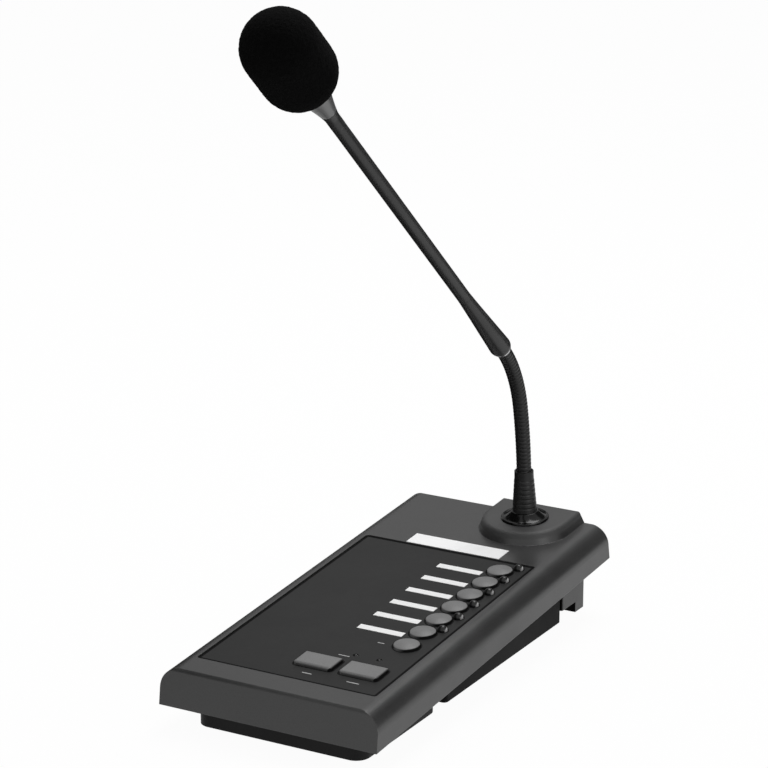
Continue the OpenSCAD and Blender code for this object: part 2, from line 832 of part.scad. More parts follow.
module neck_washer() {
  color("silver") on_neck(pedestal_top - pedestal_t - washer_t) difference() {
    cylinder(d = washer_d, h = washer_t);
    translate([0, 0, -cut]) cylinder(d = shank_d + 2 * screw_gap, h = washer_t + 2 * cut);
  }
}

module neck_nut() {
  color("silver") on_neck(pedestal_top - pedestal_t - washer_t - nut_t) difference() {
    cylinder(d = shank_d * 1.6, h = nut_t, $fn = 6);
    translate([0, 0, -cut]) cylinder(d = shank_d + 2 * screw_gap, h = nut_t + 2 * cut);
  }
}

// Conical sleeve with round ribs and a plain lip
module neck_boot() {
  lip = 1.4;
  groove = 0.1;
  edge = 0.1;
  count = floor((boot_h - lip - 1) / boot_pitch);
  function boot_r(z) = (boot_d + (boot_top_d - boot_d) * z / boot_h) / 2;
  color("#1a1a1a") on_neck(collar_top) rotate_extrude($fn = 64) difference() {
    polygon(concat([[neck_hole / 2, 0], [boot_r(0), 0]],
      [for (i = [0:count - 1], k = [0:3]) let (z = 0.6 + (i + [0, 0.5, 0.7, 0.8][k]) * boot_pitch)
        [boot_r(z) - (k > 1 ? groove : 0), z]],
      [[boot_r(boot_h - lip), boot_h - lip], [boot_r(boot_h) + edge, boot_h - lip],
        [boot_r(boot_h) + edge, boot_h - 2 * edge], [boot_r(boot_h) - edge, boot_h],
        [neck_hole / 2, boot_h]]));
  }
}

// Path of the neck: straight through the boot, two bends forward, straight into the ferrule
function neck_angle(s) = let (b = s - boot_h)
  b < lower_l ? slope + max(0, b) / lower_r * 180 / PI
  : min(lean, lower_bend + (b - lower_l) / upper_r * 180 / PI);
function straight(l, a) = l * [0, -sin(a), cos(a)];
function bend(r, a, b) = r * [0, cos(b) - cos(a), sin(b) - sin(a)];
function neck_point(s) =
  let (a = neck_angle(s), low = min(a, lower_bend))
  neck_low + straight(min(s, boot_h), slope) + bend(lower_r, slope, low) + bend(upper_r, low, a)
    + straight(max(0, s - mouth_s), lean);
function neck_ring(s, r) = let (p = neck_point(s), a = neck_angle(s))
  [for (j = [0:neck_sides - 1]) let (t = 360 * j / neck_sides, x = r * cos(t), y = r * sin(t))
    [p.x + x, p.y + y * cos(a), p.z + y * sin(a)]];

// Ribbed hose with its bore, as one closed surface
module flexible_neck() {
  ribs = floor((neck_l - 2 * neck_d) / rib_pitch);
  step = (neck_l - 2 * neck_d) / ribs;
  stations = concat([0], [for (i = [0:2 * ribs]) neck_d + i * step / 2], [neck_l]);
  count = len(stations);
  bore_steps = 30;
  function crest(i) = i > 0 && i < count - 1 && i % 2 == 0;
  outer = [for (i = [0:count - 1]) neck_ring(stations[i], neck_d / 2 - (crest(i) ? 0 : rib_depth))];
  inner = [for (i = [0:bore_steps]) neck_ring(neck_l * i / bore_steps, neck_bore / 2)];
  n = neck_sides;
  base = count * n;
  last = base + bore_steps * n;
  function next(j) = (j + 1) % n;
  sides = [for (i = [0:count - 2], j = [0:n - 1], k = [0, 1]) let (a = i * n, b = a + n)
    k == 0 ? [a + j, b + j, b + next(j)] : [a + j, b + next(j), a + next(j)]];
  bore = [for (i = [0:bore_steps - 1], j = [0:n - 1], k = [0, 1]) let (a = base + i * n, b = a + n)
    k == 0 ? [a + j, b + next(j), b + j] : [a + j, a + next(j), b + next(j)]];
  low_end = [for (j = [0:n - 1], k = [0, 1])
    k == 0 ? [j, next(j), base + next(j)] : [j, base + next(j), base + j]];
  high_end = [for (j = [0:n - 1], k = [0, 1]) let (a = base - n)
    k == 0 ? [a + j, last + j, last + next(j)] : [a + j, last + next(j), a + next(j)]];
  points = [for (ring = concat(outer, inner)) each ring];
  color("#141414") polyhedron(points, concat(sides, bore, low_end, high_end));
}

module ferrule_ring() {
  color("silver") on_stem() difference() {
    cylinder(d = neck_hole + 2 * ring_w, h = ring_t);
    translate([0, 0, -cut]) cylinder(d = neck_hole, h = ring_t + 2 * cut);
  }
}

// Tapered sleeve with a round mouth, a socket for the neck below and one for the stem above
module stem_ferrule() {
  land = neck_hole / 2 + ring_w;
  color("#262626") on_stem() difference() {
    rotate_extrude($fn = 64)
      polygon(concat([[0, ring_t]],
        [for (a = [0:10:90]) [land + (ferrule_d / 2 - land) * sin(a), ring_t + nose * (1 - cos(a))]],
        [[stem_d / 2 + stem_lip, ferrule_l], [0, ferrule_l]]));
    translate([0, 0, ring_t - cut]) cylinder(d = neck_hole, h = neck_d - ring_t + cut);
    cylinder(d = neck_bore, h = ferrule_l + cut);
    translate([0, 0, ferrule_l - stem_seat]) cylinder(d = stem_d + 2 * plunger_gap, h = stem_seat + cut);
  }
}

module stem_tube() {
  low = ferrule_l - stem_seat;
  color("#2c2c2c") on_stem() difference() {
    translate([0, 0, low]) cylinder(d = stem_d, h = stem_l + stem_seat - low);
    translate([0, 0, low - cut]) cylinder(d = stem_bore, h = stem_l + stem_seat - low + 2 * cut);
  }
}

// Flared housing that carries the capsule inside the foam
module capsule_housing() {
  bore = housing_d - 2 * housing_wall;
  vent_d = 2;
  vent_up = 3 * vent_d;
  color("#8c8c8c") on_stem() difference() {
    union() {
      translate([0, 0, stem_l]) cylinder(d1 = stem_d + 2 * stem_lip, d2 = housing_d, h = flare_l);
      translate([0, 0, barrel_low]) cylinder(d = housing_d, h = barrel_l);
    }
    translate([0, 0, stem_l - cut]) cylinder(d = stem_d + 2 * plunger_gap, h = stem_seat + cut);
    translate([0, 0, stem_l]) cylinder(d = stem_bore, h = flare_l + barrel_l);
    translate([0, 0, barrel_low]) cylinder(d = bore, h = barrel_l + cut);
    for (a = [0:45:315]) rotate(a) translate([0, 0, barrel_low + vent_up]) rotate([90, 0, 0])
      cylinder(d = vent_d, h = housing_d);
  }
}

module capsule_grille() {
  d = housing_d - 2 * housing_wall - seat_gap;
  color("silver") on_stem() translate([0, 0, barrel_top - grille_t]) difference() {
    cylinder(d = d, h = grille_t);
    translate([0, 0, -cut]) for (ring = [0:2], k = [0:max(0, 6 * ring - 1)])
      rotate(60 * k / max(1, ring)) translate([1.7 * ring, 0, 0]) cylinder(d = 1, h = grille_t + 2 * cut);
  }
}

module capsule_holder() {
  d = housing_d - 2 * housing_wall - seat_gap;
  color("#202020") on_stem() translate([0, 0, barrel_top - grille_t - capsule_l]) difference() {
    cylinder(d = d, h = holder_l);
    translate([0, 0, -cut]) cylinder(d = capsule_d + seat_gap, h = holder_l + 2 * cut);
  }
}

module mic_capsule() {
  color("gray") on_stem() translate([0, 0, barrel_top - grille_t - capsule_l]) difference() {
    cylinder(d = capsule_d, h = capsule_l);
    translate([0, 0, capsule_l - 0.4]) cylinder(d = capsule_d - 2.4, h = 1);
  }
}

module windscreen() {
  r = foam_d / 2;
  color("#0c0c0c") on_stem() difference() {
    union() {
      translate([0, 0, foam_low + r]) cylinder(d = foam_d, h = foam_l - foam_d);
      translate([0, 0, foam_low + r]) sphere(r, $fn = 96);
      translate([0, 0, foam_low + foam_l - r]) sphere(r, $fn = 96);
    }
    translate([0, 0, barrel_low - cut])
      cylinder(d = housing_d + 2 * seat_gap, h = cut + barrel_l + seat_gap);
  }
}

top_cover();
panel_overlay();
name_strip();
zone_strips();
bottom_case();
front_foot();
rear_block();
rear_pads();
ballast_plate();
keypad_board();
key_switches();
zone_leds();
status_leds();
connector_board();
data_sockets();
case_screws();
board_screws();
underside_screws();
neck_collar();
neck_washer();
neck_nut();
neck_boot();
flexible_neck();
ferrule_ring();
stem_ferrule();
stem_tube();
capsule_housing();
capsule_holder();
mic_capsule();
capsule_grille();
windscreen();
bar_key(0);  // talk_key
bar_key(1);  // lock_key
round_key(2);  // all_key
round_key(3);  // zone_key_1
round_key(4);  // zone_key_2
round_key(5);  // zone_key_3
round_key(6);  // zone_key_4
round_key(7);  // zone_key_5
round_key(8);  // zone_key_6
plunger(0);  // talk_plunger
plunger(1);  // lock_plunger
plunger(2);  // all_plunger
plunger(3);  // zone_plunger_1
plunger(4);  // zone_plunger_2
plunger(5);  // zone_plunger_3
plunger(6);  // zone_plunger_4
plunger(7);  // zone_plunger_5
plunger(8);  // zone_plunger_6
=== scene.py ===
import math

import bmesh
import bpy
from mathutils import Matrix, Vector, noise

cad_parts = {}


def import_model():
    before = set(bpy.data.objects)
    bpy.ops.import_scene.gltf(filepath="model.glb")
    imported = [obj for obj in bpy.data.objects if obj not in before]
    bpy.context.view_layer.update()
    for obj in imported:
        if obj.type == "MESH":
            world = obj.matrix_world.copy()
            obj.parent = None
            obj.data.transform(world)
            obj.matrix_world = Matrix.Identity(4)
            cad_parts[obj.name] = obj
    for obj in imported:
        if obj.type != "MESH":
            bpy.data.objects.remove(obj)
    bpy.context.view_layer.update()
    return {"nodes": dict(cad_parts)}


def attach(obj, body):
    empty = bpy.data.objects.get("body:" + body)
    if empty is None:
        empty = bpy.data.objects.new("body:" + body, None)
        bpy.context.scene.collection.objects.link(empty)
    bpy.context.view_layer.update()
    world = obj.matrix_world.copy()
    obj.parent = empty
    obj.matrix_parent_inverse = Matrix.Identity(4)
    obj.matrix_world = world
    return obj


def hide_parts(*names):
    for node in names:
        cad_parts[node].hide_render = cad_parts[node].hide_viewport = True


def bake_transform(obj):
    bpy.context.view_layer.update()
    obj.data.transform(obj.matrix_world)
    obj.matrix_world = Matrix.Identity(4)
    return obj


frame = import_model()
nodes = frame["nodes"]
scene = bpy.context.scene
MM = 0.001

# Sizes that the pieces share with the solids, in mm
SLOPE = math.radians(4)
BASE_W, BASE_L, COVER_H, FRONT_LIFT = 100.0, 207.0, 15.7, 10.4
FRONT_Y = -BASE_L * math.cos(SLOPE) / 2
PANEL_W, PANEL_L, PANEL_FRONT, PANEL_SUNK = 82.6, 137.2, 15.7, 0.3
PANEL_FACE = COVER_H - PANEL_SUNK
KEY_D, KEY_U, KEY_V, KEY_PITCH, ZONES = 10.8, 29.7, 61.3, 13.5, 6
BAR_L, BAR_W, BAR_R, BAR_V, LOCK_U, BAR_PITCH = 17.2, 10.6, 1.4, 33.1, 26.0, 20.9
LED_D, LED_SIDE, LED_BACK = 4.0, 5.9, 5.8
KEY_GAP, LED_GAP = 0.35, 0.15
COLLAR_R, COLLAR_H, PEDESTAL_RISE = 10.5, 3.6, 5.0
NECK_SIDE, NECK_BACK = 32.0, 18.3
NECK_X, NECK_V = BASE_W / 2 - NECK_SIDE, BASE_L - NECK_BACK
COLLAR_TOP = COVER_H + PEDESTAL_RISE + COLLAR_H
NECK_LOW = Vector((NECK_X, FRONT_Y + NECK_V * math.cos(SLOPE) - COLLAR_TOP * math.sin(SLOPE),
                   FRONT_LIFT + NECK_V * math.sin(SLOPE) + COLLAR_TOP * math.cos(SLOPE)))
BOOT_R, BOOT_H, LOWER_R, UPPER_R = 5.4, 18.6, 208.0, 57.3
LOWER_BEND, LEAN = math.radians(12.3), math.radians(48.3)
LOWER_L, UPPER_L = LOWER_R * (LOWER_BEND - SLOPE), UPPER_R * (LEAN - LOWER_BEND)
MOUTH_S = BOOT_H + LOWER_L + UPPER_L
NECK_D, NECK_BORE, RIB_PITCH, RIB_DEPTH = 6.5, 3.6, 1.8, 0.17
NECK_L = MOUTH_S + NECK_D
STEM_R, STEM_L, FLARE_L, HOUSING_R, BARREL_L = 2.9, 185.8, 18.5, 6.2, 32.0
FERRULE_R, FERRULE_L, FERRULE_LOW, NOSE, MOUTH_R = 4.7, 37.3, 0.9, 2.2, 3.95
FOAM_LOW, FOAM_D, FOAM_L = STEM_L + FLARE_L + 0.6, 30.0, 45.2

# Sizes of the pieces alone, in mm
RIB_ROUND = 0.55
FOAM_HOLE_R, FOAM_MOUTH_R, FOAM_SWELL = 6.35, 7.6, 0.12
FOAM_SHIFT = Vector((-0.3, 0, 0))
FOAM_WAVES = ((0.16, 0.85, Vector((0, 0, 0))), (0.10, 1.9, Vector((9, 4, 2))))
SKIN, SUNK = 0.03, 0.04
COLLAR_CURVE = BELL_CURVE = 1.25
TAIL_LOW, TAIL_TOP = 28.0, FERRULE_L + 9
SEAM = STEM_L + 6.3
# Widths and thickness of the painted shade rings round the key and lamp openings
BAR_RIM, ROUND_RIM, RIM_T = 0.6, 0.5, 0.03
MARKS = ((26.8, 23.0, 5.5), (6.0, 22.7, 4.3), (11.2, 43.0, 5.0), (18.8, 59.5, 3.0))
MARK_W, MARK_T, MARK_LIFT = 0.55, 0.06, 0.01

# Values that the materials share
NOISE_LOW, NOISE_HIGH = 0.3, 0.7
WEAR_START, WEAR_FULL = 0.995, 0.75
BEVEL_SAMPLES = 6
DULL_SPEC = 0.03


def neck_frame(s):
    """Point (mm) and lean of the neck's middle line at length s."""
    b = s - BOOT_H
    a = SLOPE + max(0, b) / LOWER_R if b < LOWER_L else min(LEAN, LOWER_BEND + (b - LOWER_L) / UPPER_R)
    low = min(a, LOWER_BEND)
    p = NECK_LOW.copy()
    for length, lean in ((min(s, BOOT_H), SLOPE), (max(0, s - MOUTH_S), LEAN)):
        p += length * Vector((0, -math.sin(lean), math.cos(lean)))
    for r, a0, a1 in ((LOWER_R, SLOPE, low), (UPPER_R, low, a)):
        p += r * Vector((0, math.cos(a1) - math.cos(a0), math.sin(a1) - math.sin(a0)))
    return p, a


ON_SLOPE = Matrix.Translation(Vector((0, FRONT_Y, FRONT_LIFT)) * MM) @ Matrix.Rotation(SLOPE, 4, "X")
ON_STEM = Matrix.Translation(neck_frame(MOUTH_S)[0] * MM) @ Matrix.Rotation(LEAN, 4, "X")


# Mesh helpers
def new_object(name, bm, smooth=True):
    mesh = bpy.data.meshes.new(name)
    bmesh.ops.recalc_face_normals(bm, faces=bm.faces)
    bm.to_mesh(mesh)
    bm.free()
    if smooth:
        for p in mesh.polygons:
            p.use_smooth = True
    obj = bpy.data.objects.new(name, mesh)
    scene.collection.objects.link(obj)
    return obj


def steps(low, high, count):
    """Evenly spaced values from low to high, with both."""
    return [low + (high - low) * i / count for i in range(count + 1)]


def arc(cx, cz, r, a0, a1, count):
    """Points of a circle's part, from a0 to a1 degrees."""
    angles = [math.radians(a) for a in steps(a0, a1, count)]
    return [(cx + r * math.cos(a), cz + r * math.sin(a)) for a in angles]


def rings_to_faces(bm, rings, close=False):
    """Joins each ring of points to the next one. A ring of one point closes that end."""
    count = max(len(ring) for ring in rings)
    pairs = list(zip(rings, rings[1:])) + ([(rings[-1], rings[0])] if close else [])
    for a, b in pairs:
        for j in range(count):
            k = (j + 1) % count
            if len(a) == 1:
                bm.faces.new((a[0], b[k], b[j]))
            elif len(b) == 1:
                bm.faces.new((a[j], a[k], b[0]))
            else:
                bm.faces.new((a[j], a[k], b[k], b[j]))


def lathe(bm, profile, segments, matrix, close=False):
    """Revolves (r, z) points in mm about Z. A point with r = 0 closes that end."""
    turns = [2 * math.pi * j / segments for j in range(segments)]
    rings = []
    for r, z in profile:
        ring = [(r * math.cos(t) * MM, r * math.sin(t) * MM, z * MM) for t in (turns if r else turns[:1])]
        rings.append([bm.verts.new(matrix @ Vector(point)) for point in ring])
    rings_to_faces(bm, rings, close)


# Node helpers
def fresh_tree(owner, output):
    """Empties the node tree of a material or world. Returns it with the input of its output node."""
    owner.use_nodes = True
    tree = owner.node_tree
    tree.nodes.clear()
    return tree, tree.nodes.new(output).inputs[0]


def feed(tree, socket, value):
    """Links an output to an input, or sets the input to a plain value."""
    if isinstance(value, bpy.types.NodeSocket):
        tree.links.new(value, socket)
    else:
        socket.default_value = value


def calc(tree, operation, a, b):
    n = tree.nodes.new("ShaderNodeMath")
    n.operation = operation
    feed(tree, n.inputs[0], a)
    feed(tree, n.inputs[1], b)
    return n.outputs[0]


def dot_product(tree, a, b):
    n = tree.nodes.new("ShaderNodeVectorMath")
    n.operation = "DOT_PRODUCT"
    feed(tree, n.inputs[0], a)
    feed(tree, n.inputs[1], b)
    return n.outputs["Value"]


def map_range(tree, value, low, high, to_low=0.0, to_high=1.0):
    n = tree.nodes.new("ShaderNodeMapRange")
    feed(tree, n.inputs["Value"], value)
    for key, limit in (("From Min", low), ("From Max", high), ("To Min", to_low), ("To Max", to_high)):
        n.inputs[key].default_value = limit
    return n.outputs["Result"]


def mix_colours(tree, factor, a, b, blend="MIX"):
    n = tree.nodes.new("ShaderNodeMix")
    n.data_type = "RGBA"
    n.blend_type = blend
    feed(tree, n.inputs["Factor"], factor)
    feed(tree, n.inputs[6], a)
    feed(tree, n.inputs[7], b)
    return n.outputs[2]


def seen_shader(tree, surface, lighting, seen, part=1.0):
    """Shows a shader, or that part of it, to the camera, in reflections and through glass. All other rays meet the
    lighting shader."""
    path = tree.nodes.new("ShaderNodeLightPath")
    factor = path.outputs["Is Camera Ray"]
    for kind in ("Is Glossy Ray", "Is Transmission Ray"):
        factor = calc(tree, "MAXIMUM", factor, path.outputs[kind])
    mix = tree.nodes.new("ShaderNodeMixShader")
    for socket, value in zip(mix.inputs, (calc(tree, "MULTIPLY", factor, part), lighting, seen)):
        tree.links.new(value, socket)
    tree.links.new(mix.outputs[0], surface)


# Materials
def material(name, colour, rough, spec=0.35, metallic=0.0, var=0.1, var_scale=35, rough_var=0.06,
             grain=0.06, grain_scale=2400, bump=0.12, bump_scale=2600, bump_mm=0.06, bevel_mm=0.0, edge=0.0,
             painted_facing=None, painted_rim_shade=None, soft_above=None):
    """Principled surface: slow colour variation, fine grain and relief, edges eased and slightly worn. Faces towards
    a direction can be given painted light or shade, as another colour and less gloss; a rim of the sheet on the
    slope can be given painted shade the same way; and soft_above makes edges softer and the surface rougher above a
    height over the slope."""
    m = bpy.data.materials.new(name)
    t, surface = fresh_tree(m, "ShaderNodeOutputMaterial")
    p = t.nodes.new("ShaderNodeBsdfPrincipled")
    t.links.new(p.outputs[0], surface)
    p.inputs["Metallic"].default_value = metallic
    p.inputs["Specular IOR Level"].default_value = spec
    place = t.nodes.new("ShaderNodeTexCoord").outputs["Object"]

    def noise_out(scale, detail, roughness):
        n = t.nodes.new("ShaderNodeTexNoise")
        for key, value in (("Vector", place), ("Scale", scale), ("Detail", detail), ("Roughness", roughness)):
            feed(t, n.inputs[key], value)
        return n.outputs["Fac"]

    def along(direction):
        """Distance in mm from the slope's front edge along a direction."""
        start = Vector((0, FRONT_Y, FRONT_LIFT)).dot(direction)
        return calc(t, "SUBTRACT", dot_product(t, place, direction / MM), start)

    def paint_light_or_shade(factor, colour_now, painted_colour):
        """Paints light or shade: gives another colour and takes the gloss away where the factor is 1."""
        t.links.new(map_range(t, factor, 0.0, 1.0, spec, DULL_SPEC), p.inputs["Specular IOR Level"])
        return mix_colours(t, factor, colour_now, painted_colour + (1,))

    slow = noise_out(var_scale, 3, 0.55)
    fine = noise_out(grain_scale, 2, 0.6)
    ramp = t.nodes.new("ShaderNodeValToRGB")
    for stop, position, factor in zip(ramp.color_ramp.elements, (NOISE_LOW, NOISE_HIGH), (1 - var, 1 + var)):
        stop.position = position
        stop.color = [c * factor for c in colour] + [1]
    t.links.new(slow, ramp.inputs["Fac"])
    speck = map_range(t, fine, NOISE_LOW, NOISE_HIGH, 1 - grain * 2, 1 + grain * 2)
    colour_out = mix_colours(t, 1.0, ramp.outputs["Color"], speck, "MULTIPLY")
    smoothest, roughest = max(0.02, rough - rough_var), min(1.0, rough + rough_var)
    rough_out = map_range(t, slow, NOISE_LOW, NOISE_HIGH, smoothest, roughest)
    relief = t.nodes.new("ShaderNodeBump")
    for key, value in (("Strength", bump), ("Distance", bump_mm * MM), ("Height", noise_out(bump_scale, 3, 0.6))):
        feed(t, relief.inputs[key], value)
    if bevel_mm:
        bevel = t.nodes.new("ShaderNodeBevel")
        bevel.samples = BEVEL_SAMPLES
        radius = bevel_mm * MM
        if soft_above:
            height, soft_mm, rougher = soft_above
            above = along(Vector((0, -math.sin(SLOPE), math.cos(SLOPE))))
            radius = map_range(t, above, height, height + 1, radius, soft_mm * MM)
            upper_part = calc(t, "GREATER_THAN", above, height)
            rough_out = calc(t, "ADD", rough_out, calc(t, "MULTIPLY", upper_part, rougher))
        feed(t, bevel.inputs["Radius"], radius)
        eased = bevel.outputs["Normal"]
        t.links.new(eased, relief.inputs["Normal"])
        if edge:
            flat = t.nodes.new("ShaderNodeNewGeometry").outputs["Normal"]
            wear = map_range(t, dot_product(t, eased, flat), WEAR_START, WEAR_FULL, 1.0, 1.0 + edge)
            colour_out = mix_colours(t, 1.0, colour_out, wear, "MULTIPLY")
    # Painted light or shade on the faces that look towards the given direction
    if painted_facing:
        direction, start, full, painted_colour = painted_facing
        flat = t.nodes.new("ShaderNodeNewGeometry").outputs["Normal"]
        colour_out = paint_light_or_shade(map_range(t, dot_product(t, flat, direction), start, full), colour_out, painted_colour)
    # Painted shade: a dark band round the rim of the sheet, where the gap beside it lies in shadow
    if painted_rim_shade:
        width, dark = painted_rim_shade
        across, uphill = Vector((1, 0, 0)), Vector((0, math.cos(SLOPE), math.sin(SLOPE)))
        beyond = []
        for direction, middle, size in ((across, 0.0, PANEL_W), (uphill, PANEL_FRONT + PANEL_L / 2, PANEL_L)):
            off = calc(t, "ABSOLUTE", calc(t, "SUBTRACT", along(direction), middle), 0.0)
            beyond.append(calc(t, "SUBTRACT", off, size / 2 - width))
        rim = calc(t, "GREATER_THAN", calc(t, "MAXIMUM", *beyond), 0.0)
        colour_out = paint_light_or_shade(rim, colour_out, dark)
    t.links.new(rough_out, p.inputs["Roughness"])
    t.links.new(colour_out, p.inputs["Base Color"])
    t.links.new(relief.outputs["Normal"], p.inputs["Normal"])
    return m


def grey(v):
    """Linear grey of an sRGB value 0-255."""
    c = v / 255
    c = c / 12.92 if c <= 0.04045 else ((c + 0.055) / 1.055) ** 2.4
    return (c, c, c)


COVER = material("cover_plastic", grey(50), 0.34, spec=0.5, var=0.06, grain=0.07, bump=0.2, bevel_mm=0.5, edge=0.05,
                 soft_above=(COVER_H + 2.5, 3.0, 0.22))
# Painted shade: the rear block's faces that look forward and down are painted near black, as in its shadowed cable
# channel
BLOCK = material("block_plastic_painted_shade", grey(50), 0.34, spec=0.4, var=0.06, grain=0.07, bump=0.2, bevel_mm=0.3,
                 painted_facing=((0, -0.8, -0.6), 0.4, 0.6, grey(3)))
# Painted shade: a dark band round the sheet's rim, where it meets the cover and lies in shadow
PANEL = material("panel_sheet_painted_rim_shade", grey(32), 0.5, spec=0.16, var=0.06, grain=0.05, bump=0.1, bevel_mm=0.1,
                 painted_rim_shade=(1.4, grey(12)))
# Painted shade: the keys' faces that look right, forward and down are painted dark, as in the shadowed gaps round
# them
KEYS = material("key_plastic_painted_shade", grey(119), 0.4, spec=0.25, var=0.05, grain=0.05, bump=0.15, bevel_mm=0.3, edge=0.1,
                painted_facing=((0.85, -0.35, -0.4), 0.1, 0.6, grey(30)))
PAPER = material("strip_paper", grey(246), 0.7, spec=0.2, var=0.015, var_scale=300, grain=0.008, bump=0.1,
                 bevel_mm=0.1)
PRINT = material("panel_print", grey(178), 0.7, spec=0.2, var=0.03, var_scale=300, grain=0.02, bump=0.1)
CASE = material("case_plastic", grey(9), 0.55, spec=0.08, var=0.1, grain=0.08, bump=0.3, bevel_mm=0.6, edge=0.3)
# Painted light: the front foot is the case's black plastic, given a lighter grey than the case so that it looks lit
FOOT = material("foot_plastic_painted_light", grey(22), 0.55, spec=0.15, var=0.1, grain=0.08, bump=0.3, bevel_mm=0.6, edge=0.3)
RUBBER = material("boot_rubber", grey(22), 0.45, spec=0.3, var=0.1, grain=0.08, bump=0.15, bevel_mm=0.2, edge=0.3)
PADS = material("pad_rubber", grey(26), 0.8, spec=0.2, var=0.15, grain=0.1, bump=0.4, bevel_mm=0.3)
GLOSS = material("collar_gloss", grey(8), 0.17, spec=0.22, var=0.1, grain=0.03, bump=0.02, rough_var=0.03)
HOSE = material("neck_hose", grey(22), 0.42, spec=0.3, var=0.12, var_scale=120, grain=0.08, bump=0.15)
STEM = material("stem_paint", grey(30), 0.36, spec=0.4, var=0.08, grain=0.06, bump=0.06)
# Painted light: the housing's faces that look down, left and forward are painted light grey, as its lit side
HEAD = material("head_metal_painted_light", grey(108), 0.4, spec=0.5, metallic=0.5, var=0.06, grain=0.05, bump=0.06,
                painted_facing=((-0.56, -0.36, -0.74), 0.5, 1.0, grey(215)))
STEEL = material("bright_steel", grey(190), 0.32, spec=0.5, metallic=1.0, var=0.08, grain=0.06, bump=0.1,
                 bevel_mm=0.2)
BOARD = material("board_mask", (0.02, 0.12, 0.05), 0.45, spec=0.4, var=0.25, var_scale=140, grain=0.08, bump=0.1,
                 bevel_mm=0.1)
SWITCH = material("socket_plastic", grey(40), 0.5, spec=0.35, var=0.1, grain=0.06, bump=0.15, bevel_mm=0.3, edge=0.3)
# Painted highlight: a light crescent on each lamp's faces that look right, a little back and down
LENS = material("lamp_lens_painted_highlight", grey(22), 0.3, spec=0.35, var=0.1, grain=0.02, bump=0.02, rough_var=0.03,
                painted_facing=((0.92, 0.25, -0.3), 0.5, 0.7, grey(205)))
PLUNGER = material("plunger_plastic", grey(215), 0.5, spec=0.35, var=0.04, grain=0.03, bump=0.1, bevel_mm=0.2)
FOAM = material("foam", grey(7), 0.98, spec=0.05, var=0.3, var_scale=500, grain_scale=1500, grain=0.25, bump=0.9,
                bump_scale=1300, bump_mm=0.5, rough_var=0.02)

LOOKS = {
    "top_cover": COVER, "panel_overlay": PANEL, "name_strip": PAPER, "zone_strips": PAPER, "bottom_case": CASE,
    "front_foot": FOOT, "rear_block": BLOCK, "rear_pads": PADS, "ballast_plate": STEEL, "keypad_board": BOARD,
    "key_switches": SWITCH, "zone_leds": LENS, "status_leds": LENS, "connector_board": BOARD,
    "data_sockets": SWITCH, "case_screws": STEEL, "board_screws": STEEL, "underside_screws": STEEL,
    "neck_collar": GLOSS, "neck_washer": STEEL, "neck_nut": STEEL, "neck_boot": RUBBER, "flexible_neck": HOSE,
    "ferrule_ring": STEEL, "stem_ferrule": STEM, "stem_tube": STEM, "capsule_housing": HEAD,
    "capsule_holder": PADS, "mic_capsule": STEEL, "capsule_grille": STEEL, "windscreen": FOAM,
}
for name, obj in nodes.items():
    look = LOOKS.get(name) or (KEYS if "_key" in name else PLUNGER)
    obj.data.materials.clear()
    obj.data.materials.append(look)


def dress(obj, look, body, slot, *replaced):
    """Gives a piece its look and its body, and hides the nodes that it replaces. The slot is not used."""
    obj.data.materials.append(look)
    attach(obj, body)
    if replaced:
        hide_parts(*replaced)
    return obj


# Ribbed neck, in two halves
def hose(name, s0, s1, first, last):
    """Tube with round ribs from s0 to s1 along the neck, with plain ends where asked."""
    bm = bmesh.new()
    segments, per_rib, bore_steps = 40, 8, 40
    plain_r, plain_l = NECK_D / 2 - RIB_DEPTH, NECK_D * 0.9
    lo = NECK_D if first else s0
    hi = NECK_L - NECK_D if last else s1
    stations = [(0.0, plain_r), (plain_l, plain_r)] if first else []
    for i, s in enumerate(steps(lo, hi, round((hi - lo) / RIB_PITCH) * per_rib)):
        bulge = abs(math.sin(math.pi * ((i / per_rib) % 1.0))) ** RIB_ROUND
        stations.append((s, NECK_D / 2 - RIB_DEPTH * (1 - bulge)))
    if last:
        stations += [(NECK_L - plain_l, plain_r), (NECK_L, plain_r)]
    stations += [(s, NECK_BORE / 2) for s in steps(s1, s0, bore_steps)]
    rings = []
    for s, r in stations:
        p, a = neck_frame(s)
        ring = []
        for j in range(segments):
            t = 2 * math.pi * j / segments
            x, y = r * math.cos(t), r * math.sin(t)
            ring.append(bm.verts.new((p + Vector((x, y * math.cos(a), y * math.sin(a)))) * MM))
        rings.append(ring)
    rings_to_faces(bm, rings, close=True)
    return new_object(name, bm)


HALFWAY = (BOOT_H + MOUTH_S) / 2
S_MID = NECK_D + round((HALFWAY - NECK_D) / RIB_PITCH) * RIB_PITCH
lower = hose("neck_hose_lower", 0, S_MID, True, False)
upper = hose("neck_hose_upper", S_MID, NECK_L, False, True)
for piece, a, b, s0, s1 in ((lower, "base", "neck", BOOT_H + 1, S_MID), (upper, "neck", "stem", S_MID, MOUTH_S - 1)):
    piece.data.materials.append(HOSE)
    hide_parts("flexible_neck")
    tuple(neck_frame(s0)[0] * MM)
    tuple(neck_frame(s1)[0] * MM)
    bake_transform(piece)


